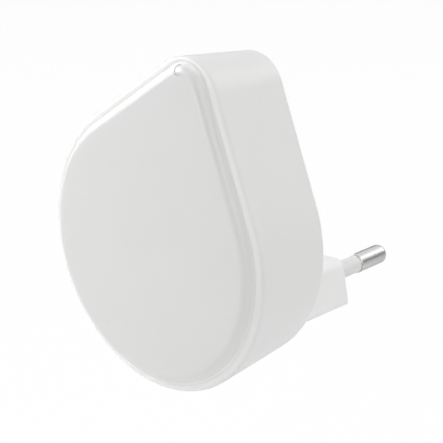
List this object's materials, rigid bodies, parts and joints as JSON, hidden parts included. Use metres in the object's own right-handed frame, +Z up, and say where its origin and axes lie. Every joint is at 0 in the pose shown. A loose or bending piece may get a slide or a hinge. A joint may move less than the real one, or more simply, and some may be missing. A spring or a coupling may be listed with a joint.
{
  "type": "plug-in night light",
  "caption": "Drop-shaped plug-in night light with a flat light panel standing out of its rim, a small light sensor window at the tip and a plug block with round pins behind",
  "frame": {"origin": "middle between the two pins on the rear face of the plug block, where the block ends and the pins come out", "axes": "+X to the right seen from the front, +Y into the wall socket along the pins, +Z up with the pins level"},
  "size_m": [0.0556, 0.0585, 0.0648],
  "materials": {
    "housing_plastic": "smooth white moulded plastic with a soft sheen",
    "panel_plastic": "white opal moulded plastic, satin",
    "guide_plastic": "clear moulded plastic",
    "plug_plastic": "smooth white moulded plastic",
    "pin_metal": "nickel-plated brass, lightly brushed",
    "sleeve_plastic": "white moulded sleeve",
    "lead_brown": "brown insulation",
    "lead_blue": "blue insulation",
    "screw_steel": "zinc-plated steel",
    "board_laminate": "green lacquered laminate",
    "reflector_plastic": "bright white plastic",
    "led_resin": "white bodies with a yellow lit face",
    "sensor_resin": "dark tinted resin",
    "film_case": "red potted case",
    "can_sleeve": "dark shrink sleeve on an aluminium can",
    "chip_plastic": "black moulded case",
    "resistor_lacquer": "lacquered body",
    "diode_glass": "tinted glass body"
  },
  "bodies": {
    "root": {"housing": "housing_plastic", "diffuser": "panel_plastic", "light_guide": "guide_plastic", "plug_block": "plug_plastic", "pin_left": "pin_metal", "pin_right": "pin_metal", "sleeve_left": "sleeve_plastic", "sleeve_right": "sleeve_plastic", "lead_left": "lead_brown", "lead_right": "lead_blue", "flange_screws": "screw_steel", "board_screws": "screw_steel", "circuit_board": "board_laminate", "reflector": "reflector_plastic", "leds": "led_resin", "light_sensor": "sensor_resin", "film_capacitor": "film_case", "smoothing_capacitor": "can_sleeve", "bridge_rectifier": "chip_plastic", "fusible_resistor": "resistor_lacquer", "chip_resistors": "chip_plastic", "zener_diode": "diode_glass", "control_transistor": "chip_plastic"}
  },
  "joints": []
}
